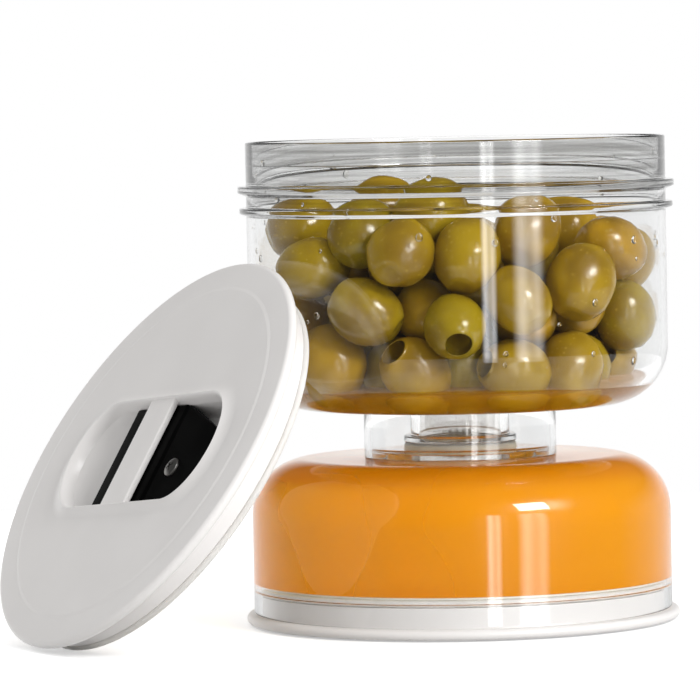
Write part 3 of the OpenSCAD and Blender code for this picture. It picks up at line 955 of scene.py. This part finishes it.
def screw_body(name):
    """The screw without its cross, drawn from the foot of its shank up over the dome."""
    outline = [(SHANK_R, -SHANK_L), (SHANK_R, 0), (HEAD_R, 0), (HEAD_R, HEAD_RIM)]
    outline += [(HEAD_R * math.cos(a), HEAD_RIM + (HEAD_H - HEAD_RIM) * math.sin(a)) for a in DOME_ANGLES]
    screw = start_ring(name, SHANK_R, -SHANK_L, SCREW_STEPS)
    bpy.ops.mesh.edge_face_add()
    for (r, z), (next_r, next_z) in zip(outline, outline[1:]):
        pick(screw, lambda p: abs(p.z - z) < LEVEL_NEAR and abs(p.xy.length - r) < RING_NEAR, "EDGE")
        bpy.ops.mesh.extrude_edges_move(TRANSFORM_OT_translate={"value": (0, 0, (next_z - z) * MM)})
        stretch(next_r / r, next_r / r, 1)
    bpy.ops.mesh.edge_face_add()
    return finish_mesh(screw, steel)


def vent_screw(name):
    """The screw in the lid's frame, head up on the wing."""
    screw = screw_body(name)
    for long, wide in ((CROSS_L, CROSS_W), (CROSS_W, CROSS_L)):
        select_only()
        bpy.ops.mesh.primitive_cube_add(size=1, location=(0, 0, HEAD_H * MM),
                                        scale=(long * MM, wide * MM, CROSS_H * MM))
        bar = bpy.context.object
        select_only(screw)
        cut = screw.modifiers.new("cross", "BOOLEAN")
        cut.operation = "DIFFERENCE"
        cut.object = bar
        bpy.ops.object.modifier_apply(modifier="cross")
        bpy.data.objects.remove(bar)
    screw.location = (SCREW_X * MM, SCREW_Y * MM, -WING_DEPTH * MM)
    screw.rotation_euler = (0, 0, SCREW_TURN)
    apply_place()
    return screw


screw_shape = vent_screw("top_screw")
print("screw:", len(screw_shape.data.polygons), "faces")

# %% [markdown]
# ## Two lids
# Both lids are the same mouldings. The base lid lies face down under the lower vessel, and the top lid
# leans against the jar with its rim on the table. The pieces above are drawn once, copied with their own
# mesh for the base, and then each set is carried to its place. The base lid's bead is pressed level, so
# that the jar stands flat.

# %% Places of the lids
LEAN_TILT = math.radians(34.1)
LEAN_TURN = math.radians(-60.6)
LEAN_SPIN = math.radians(7.0)
LEAN_CENTRE = Vector((-82.714, -46.607, 50.261))

along = Vector((math.cos(LEAN_TURN), math.sin(LEAN_TURN), 0))
outward = Vector((math.sin(LEAN_TURN), -math.cos(LEAN_TURN), 0))
face_normal = math.cos(LEAN_TILT) * outward + math.sin(LEAN_TILT) * Vector((0, 0, 1))
across = face_normal.cross(along)
lid_x = math.cos(LEAN_SPIN) * along + math.sin(LEAN_SPIN) * across
lid_y = math.cos(LEAN_SPIN) * across - math.sin(LEAN_SPIN) * along
lean = Matrix((lid_x, lid_y, face_normal)).transposed().to_4x4()
LEANING = Matrix.Translation(LEAN_CENTRE * MM) @ lean
FACE_DOWN = Matrix.Rotation(math.pi, 4, "X")
print("the top lid's face looks along", tuple(round(v, 2) for v in face_normal))

# %% Two lids
def set_down(piece, place, body, node):
    """Carry a piece to its place and say what it stands for."""
    select_only(piece)
    piece.matrix_world = place
    apply_place()
    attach(piece, body)
    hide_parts(node)


def own_copy(piece, name):
    """A copy with its own mesh."""
    twin = piece.copy()
    twin.data = piece.data.copy()
    twin.name = name
    twin.data.name = name
    scene.collection.objects.link(twin)
    return twin


def press_level(piece):
    """Press everything above the face level with it, so that the jar stands flat on its lid."""
    select_only(piece)
    bpy.ops.object.mode_set(mode="EDIT")
    pick(piece, lambda p: p.z > 0)
    stretch(1, 1, 0)
    bpy.ops.object.mode_set(mode="OBJECT")


lid_pieces = [(cover_shape, "lid_cover", "lid", "cover", "white_plastic"),
              (pan_shape, "finger_pan", "lid", "well", "white_plastic"),
              (rocker_shape, "vent_rocker", "vent", "rocker", "black_plastic"),
              (screw_shape, "screw", "vent", "vent_screw", "steel")]
for piece, label, body, node, slot in lid_pieces:
    twin = own_copy(piece, "base_" + label)
    if piece == cover_shape:
        press_level(twin)
    set_down(twin, FACE_DOWN, "base_" + body, "base_" + node)
    set_down(piece, LEANING, "top_" + body, "top_" + node)
print("two lids set down,", len(lid_pieces), "pieces each")

# %% [markdown]
# ## Brine
# The jar is shown in use: orange brine has drained into the lower vessel and fills it to the shoulder, and
# a little is left above. Each is a piece of its own, so the jar can be used without them. A liquid wets the
# wall, so its section goes a hair's breadth into it: with air between, the wall would look like an empty
# shell round the brine. It is turned like the vessels, with both ends filled. Its colour comes from
# absorption, so it is deeper where it is thicker, and a share of matt orange makes it cloudy.

# %% Brine
WETTING = 0.12
BRINE_R = INNER_R + WETTING
BRINE_CORE_R = 6
BRINE_FOOT_Z = 11.25
BRINE_TOP_Z = LOWER_TOP_Z - FLOOR_T + WETTING
BRINE_CORNER = LOWER_CORNER - WALL + WETTING
SPOUT_ROOM_R = SPOUT_R + 0.5
SPOUT_ROOM_Z = SPOUT_END_Z - 0.3


def brine_finish(name, cloud_low, cloud_high):
    """Orange liquid, deeper in colour where it is thicker, that is cloudy by a share of its light."""
    material, tree, shader = new_material(name, {"IOR": 1.34, "Transmission Weight": 1.0})
    haze = moulded_surface(tree, 140, 22)
    uneven = ranged(tree, haze["Mottle"], 0.0, 1.0)
    feed(tree, shader, {
        "Base Color": blended(tree, uneven, (0.96, 0.93, 0.86), (1.0, 0.98, 0.93)),
        "Roughness": ranged(tree, haze["Grain"], 0.16, 0.26),
    })
    absorb_light(tree, (0.957, 0.784, 0.0), 50.0)
    cloudy = new_node(tree, "BsdfDiffuse", {"Color": (0.98, 0.40, 0.006, 1)})
    share = ranged(tree, haze["Mottle"], cloud_low, cloud_high)
    liquid = mixed_shaders(tree, share, shader.outputs[0], cloudy.outputs[0])
    let_light_pass(tree, liquid, (1.0, 0.99, 0.97))
    return material


def turned_solid(name, corners, finish):
    """An open section turned round the axis, with its two end rings filled."""
    piece = draw_section(name, corners)
    bpy.ops.mesh.select_all(action="SELECT")
    bpy.ops.mesh.fill_holes(sides=0)
    return finish_mesh(piece, finish)


brine_section = [
    (BRINE_CORE_R, BRINE_FOOT_Z, 0), (BRINE_R, BRINE_FOOT_Z, EASED), (BRINE_R, BRINE_TOP_Z, BRINE_CORNER),
    (SPOUT_ROOM_R, BRINE_TOP_Z, 0), (SPOUT_ROOM_R, SPOUT_ROOM_Z, 0), (BRINE_CORE_R, SPOUT_ROOM_Z, 0),
]
brine = turned_solid("brine", brine_section, brine_finish("orange_brine", 0.38, 0.46))
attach(brine, "lower")
print("brine:", len(brine.data.polygons), "faces")

# %% Brine left above
POOL_DEPTH = 4.4
POOL_STEPS = 8
POOL_CORE_R = STRAINER_R - 3
POOL_FLOOR_Z = UPPER_Z + FLOOR_T
POOL_TOP_Z = POOL_FLOOR_Z + POOL_DEPTH
BOWL_R = VESSEL_R - UPPER_CORNER
RIM_ROOM = 0.4
RIM_STEP = 0.6

pool_corner = UPPER_CORNER - WALL + WETTING
pool_section = [
    (POOL_CORE_R, POOL_FLOOR_Z + RIM_ROOM, 0), (STRAINER_R + RIM_ROOM, POOL_FLOOR_Z + RIM_ROOM, 0),
    (STRAINER_R + RIM_STEP, POOL_FLOOR_Z - WETTING, 0), (BOWL_R, POOL_FLOOR_Z - WETTING, 0),
]
for k in range(1, POOL_STEPS + 1):
    rise = (POOL_DEPTH + WETTING) * (k / POOL_STEPS) ** 2
    reach = math.sqrt(pool_corner ** 2 - (pool_corner - rise) ** 2)
    pool_section.append((BOWL_R + reach, POOL_FLOOR_Z - WETTING + rise, 0))
pool_section.append((POOL_CORE_R, POOL_TOP_Z, 0))
pool = turned_solid("brine_pool", pool_section, brine_finish("clearer_brine", 0.12, 0.20))
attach(pool, "upper")
print("pool:", len(pool.data.polygons), "faces,", POOL_DEPTH, "mm deep")

# %% [markdown]
# ## Olives
# The upper vessel holds pitted green olives. One olive is modelled: a ball drawn out along its axis, with a
# round pit hole pushed in at one end and a small dimple at the other. It is copied with its own mesh for
# every place. The olives at the front have chosen places and turns, and the rest are dropped in at random
# from a fixed seed and settle.

# %% One olive
OLIVE_R = 9.4
OLIVE_LONG = 1.18
OLIVE_SMOOTH = math.radians(60)
HOLE_R = 3.2
HOLE_RIM = 0.9
HOLE_EASE = 0.5
HOLE_DEPTH = 9.0
HOLE_TAPER = 0.7
DIMPLE_REACH = 0.3
DIMPLE_DEPTH = 0.9


def start_ball(name, segments, rings, radius, shape):
    """A ball in edit mode, of a radius in millimetres, scaled to a shape."""
    select_only()
    bpy.ops.mesh.primitive_uv_sphere_add(segments=segments, ring_count=rings, radius=radius * MM)
    ball = bpy.context.object
    ball.name = name
    ball.scale = shape
    apply_place()
    bpy.ops.object.mode_set(mode="EDIT")
    return ball


def one_olive(name):
    """A pitted olive of its own size at the origin, its hole at the upper end."""
    olive = start_ball(name, 24, 16, OLIVE_R, (1, 1, OLIVE_LONG))
    pick(olive, lambda p: p.z > 0 and p.xy.length < HOLE_R + HOLE_RIM)
    bpy.ops.mesh.select_mode(type="FACE")
    move(0, 0, -HOLE_EASE)
    bpy.ops.mesh.inset(thickness=HOLE_EASE * MM)
    move(0, 0, -HOLE_EASE)
    draw_out(0, 0, -HOLE_DEPTH / 2)
    draw_out(0, 0, -HOLE_DEPTH / 2)
    stretch(HOLE_TAPER, HOLE_TAPER, 1)
    pick(olive, lambda p: p.z < -OLIVE_R * OLIVE_LONG + DIMPLE_REACH)
    move(0, 0, DIMPLE_DEPTH)
    bpy.ops.mesh.select_all(action="SELECT")
    bpy.ops.mesh.normals_make_consistent(inside=False)
    bpy.ops.object.mode_set(mode="OBJECT")
    bpy.ops.object.shade_smooth_by_angle(angle=OLIVE_SMOOTH)
    return olive


olive_shape = one_olive("olive_shape")
print("olive:", len(olive_shape.data.polygons), "faces")

# %% Olives at the front
OLIVE_COUNT = 78
FRONT_R = INNER_R - OLIVE_R - 0.9
BEHIND_R = FRONT_R - 11

# Each is (degrees to the right of the front, height, distance in from the wall, direction of the hole).
front_olives = [
    (-56, 96.4, 0, (-0.9, 0.3, -0.2)), (-18, 100.2, 0, (0.3, 0.75, 0.6)),
    (-32, 84.6, 0, (-0.85, 0.25, 0.45)), (-2, 80.4, 0, (0.1, -0.86, -0.5)),
    (20.6, 87.2, 0, (-0.5, 0.5, 0.7)), (46, 90.9, 0, (0.25, 0.4, 0.88)),
    (67, 99.4, 0, (0.85, 0.4, -0.35)), (85, 80.3, 0, (0.1, 0.3, -0.95)),
    (-50, 71.3, 0, (-0.35, 0.3, 0.88)), (-16, 67.5, 0, (-0.6, -0.5, 0.6)),
    (22, 67.5, 0, (-0.85, -0.45, 0.25)), (42, 68.3, 0, (0.2, 0.5, 0.85)),
    (2, 99.6, 5, (0.2, 0.5, 0.85)), (-41, 103.8, 6, (0.5, 0.5, 0.7)),
    (-85, 105.5, 3, (0.9, 0.2, 0.3)), (-12, 107.5, 14, (0.9, 0.3, 0.3)),
    (31, 105.0, 8, (0.3, 0.6, 0.7)),
]
print(len(front_olives), "of", OLIVE_COUNT, "olives have a chosen place")

# %% Settling the olives
SEED = 11
OLIVE_SIZES = (0.94, 1.05)
DROP_HEIGHTS = (70, 104)
PRESSED = 0.96
OLIVE_GAP = 0.15
SETTLE_STEPS = 1200
FALL = 0.12
PUSH = 0.35
HOMING = 0.25
FACING = -0.3
FAR = 1000
TINY = 1e-6

chance = np.random.default_rng(SEED)


def dropped_olives():
    """Centres in millimetres, sizes and axes of all olives before they settle."""
    size = chance.uniform(*OLIVE_SIZES, OLIVE_COUNT)
    angle = chance.uniform(0, 2 * math.pi, OLIVE_COUNT)
    spread = FRONT_R * np.sqrt(chance.uniform(0, 1, OLIVE_COUNT))
    level = chance.uniform(*DROP_HEIGHTS, OLIVE_COUNT)
    centre = np.stack([spread * np.sin(angle), spread * np.cos(angle), level], 1)
    axis = chance.normal(size=(OLIVE_COUNT, 3))
    outwards = (axis[:, :2] * centre[:, :2]).sum(1) > 0
    axis[outwards] *= -1
    for i, (azimuth, height, inset, hole) in enumerate(front_olives):
        a = math.radians(azimuth)
        centre[i] = ((FRONT_R - inset) * math.sin(a), -(FRONT_R - inset) * math.cos(a), height)
        axis[i] = hole
    return centre, size, axis


def wall_limit(centre, reach):
    """How far from the axis each olive may lie, in the straight wall or in the rounded corner."""
    limit = INNER_R - reach - OLIVE_GAP
    below = np.clip(UPPER_Z + UPPER_CORNER - centre[:, 2], 0, None)
    inner_corner = UPPER_CORNER - WALL - reach
    curve = np.sqrt(np.clip(inner_corner ** 2 - below ** 2, 0, None))
    return np.where(below > 0, np.minimum(limit, BOWL_R + curve), limit)


def settle(centre, reach):
    """Let the olives sink and push each other aside. Those at the front are drawn back to their places."""
    held = len(front_olives)
    home = centre[:held].copy()
    for step in range(SETTLE_STEPS):
        centre[held:, 2] -= FALL
        apart = centre[:, None] - centre[None]
        distance = np.linalg.norm(apart, axis=2) + np.eye(OLIVE_COUNT) * FAR
        push = np.clip(reach[:, None] + reach[None] - distance, 0, None)
        centre += PUSH * (apart / distance[..., None] * push[..., None]).sum(1)
        centre[:held] += HOMING * (home - centre[:held])
        wide = np.linalg.norm(centre[:, :2], axis=1)
        limit = wall_limit(centre, reach)
        facing = centre[held:, 1] < FACING * wide[held:]
        limit[held:] = np.where(facing, np.minimum(limit[held:], BEHIND_R), limit[held:])
        shrink = np.minimum(1, limit / np.maximum(wide, TINY))
        centre[:, :2] *= shrink[:, None]
        centre[:, 2] = np.maximum(centre[:, 2], UPPER_Z + FLOOR_T + reach + OLIVE_GAP)


centre, size, axis = dropped_olives()
settle(centre, size * OLIVE_R * PRESSED)
print("olives settled between", round(centre[:, 2].min(), 1), "and", round(centre[:, 2].max(), 1), "mm")

# %% Olive finish
FRECKLE_SCALE = 520
FRECKLE_SIZE = (0.10, 0.22)
FRECKLE_SHARE = 0.4
SKIN_HEIGHT = 0.0001


def olive_finish():
    """Wet green-to-tan skin: each olive has its own shade, with soft blotches, freckles and a wet gloss."""
    wet = {"Specular IOR Level": 0.5, "Subsurface Weight": 0.12, "Subsurface Radius": (0.004, 0.003, 0.001)}
    material, tree, shader = new_material("olive_skin", wet)
    surface = moulded_surface(tree, 900, 90)
    island = new_node(tree, "NewGeometry").outputs["Random Per Island"]
    own = blended(tree, island, (0.30, 0.225, 0.006), (0.46, 0.25, 0.010))
    blotch = blended(tree, ranged(tree, surface["Mottle"], 0.0, 0.75), own, (0.17, 0.09, 0.003))
    place = new_node(tree, "TexCoord").outputs["Object"]
    freckles = new_node(tree, "TexVoronoi", {"Vector": place, "Scale": FRECKLE_SCALE}).outputs["Distance"]
    pale = span(tree, freckles, *FRECKLE_SIZE, FRECKLE_SHARE, 0.0)
    feed(tree, shader, {
        "Base Color": blended(tree, pale, blotch, (0.52, 0.36, 0.05)),
        "Roughness": ranged(tree, surface["Mottle"], 0.16, 0.26),
        "Normal": bumped(tree, surface["Grain"], 0.25, SKIN_HEIGHT),
    })
    return material


olive_skin = olive_finish()
print("olive finish:", olive_skin.name)

# %% Fill of olives
OLIVE_LUMP = 1.5
LUMP_SIZE = 0.009


def gathered(name, copies, finish):
    """One piece with one finish from many copies, each at its place."""
    select_only(*copies)
    apply_place()
    piece = joined(name, copies)
    give_finish(piece, finish)
    return piece


olives = []
for i in range(OLIVE_COUNT):
    olive = own_copy(olive_shape, "olive_%02d" % i)
    turn = Vector(axis[i]).to_track_quat("Z", "Y").to_matrix().to_4x4()
    olive.matrix_world = Matrix.Translation(Vector(centre[i]) * MM) @ turn @ Matrix.Scale(size[i], 4)
    olives.append(olive)
bpy.data.objects.remove(olive_shape)
olive_fill = gathered("olive_fill", olives, olive_skin)
lumps = bpy.data.textures.new("olive_lumps", "CLOUDS")
lumps.noise_scale = LUMP_SIZE
uneven = olive_fill.modifiers.new("uneven", "DISPLACE")
uneven.texture = lumps
uneven.texture_coords = "LOCAL"
uneven.mid_level = 1.0
uneven.strength = OLIVE_LUMP * MM
bpy.ops.object.modifier_apply(modifier="uneven")
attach(olive_fill, "upper")
print("olives:", OLIVE_COUNT, "with", len(olive_fill.data.polygons), "faces")

# %% [markdown]
# ## Drops
# After draining, a few drops hang on the inside of the upper wall. A drop is a small ball pressed flat
# against the wall, a little longer downwards. One is modelled, and copies of several sizes are set round
# the wall, with the same fixed chance as the olives.

# %% One drop
DROP_R = 0.8
DROP_SHAPE = (1, 0.5, 1.15)
DROP_BELLY = (1.12, 1.1, 1.05)
BELLY_Z = -0.3


def one_drop(name):
    """A drop at the origin, flat along Y and heavier below."""
    drop = start_ball(name, 12, 8, DROP_R, DROP_SHAPE)
    pick(drop, lambda p: p.z < BELLY_Z)
    stretch(*DROP_BELLY)
    bpy.ops.object.mode_set(mode="OBJECT")
    bpy.ops.object.shade_smooth()
    return drop


def water_finish():
    """Clear water with a faint unevenness in its gloss."""
    material, tree, shader = new_material("drop_water", {"Transmission Weight": 1.0, "IOR": 1.33})
    surface = moulded_surface(tree, 800, 200)
    feed(tree, shader, {
        "Base Color": blended(tree, surface["Grain"], (0.97, 0.96, 0.93), (1.0, 1.0, 0.98)),
        "Roughness": ranged(tree, surface["Mottle"], 0.0, 0.04),
    })
    return material


drop_shape = one_drop("drop_shape")
print("drop:", len(drop_shape.data.polygons), "faces")

# %% Drops on the wall
DROP_COUNT = 60
DROP_SINK = 0.12
DROP_SIZES = (0.45, 1.25)
ALL_WALL = (70, 127)
UPPER_WALL = (95, 120)

drops = []
for i in range(DROP_COUNT):
    around = chance.uniform(0, 2 * math.pi)
    height = chance.uniform(*(ALL_WALL if i % 2 else UPPER_WALL))
    wall_r = (MOUTH_R if height > LEDGE_Z else INNER_R) - DROP_SINK
    drop = own_copy(drop_shape, "drop_%02d" % i)
    spot = Vector((wall_r * math.sin(around), -wall_r * math.cos(around), height))
    drop.matrix_world = (Matrix.Translation(spot * MM) @ Matrix.Rotation(around, 4, "Z")
                         @ Matrix.Scale(chance.uniform(*DROP_SIZES), 4))
    drops.append(drop)
bpy.data.objects.remove(drop_shape)
wall_drops = gathered("wall_drops", drops, water_finish())
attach(wall_drops, "upper")
print("drops:", DROP_COUNT, "with", len(wall_drops.data.polygons), "faces")
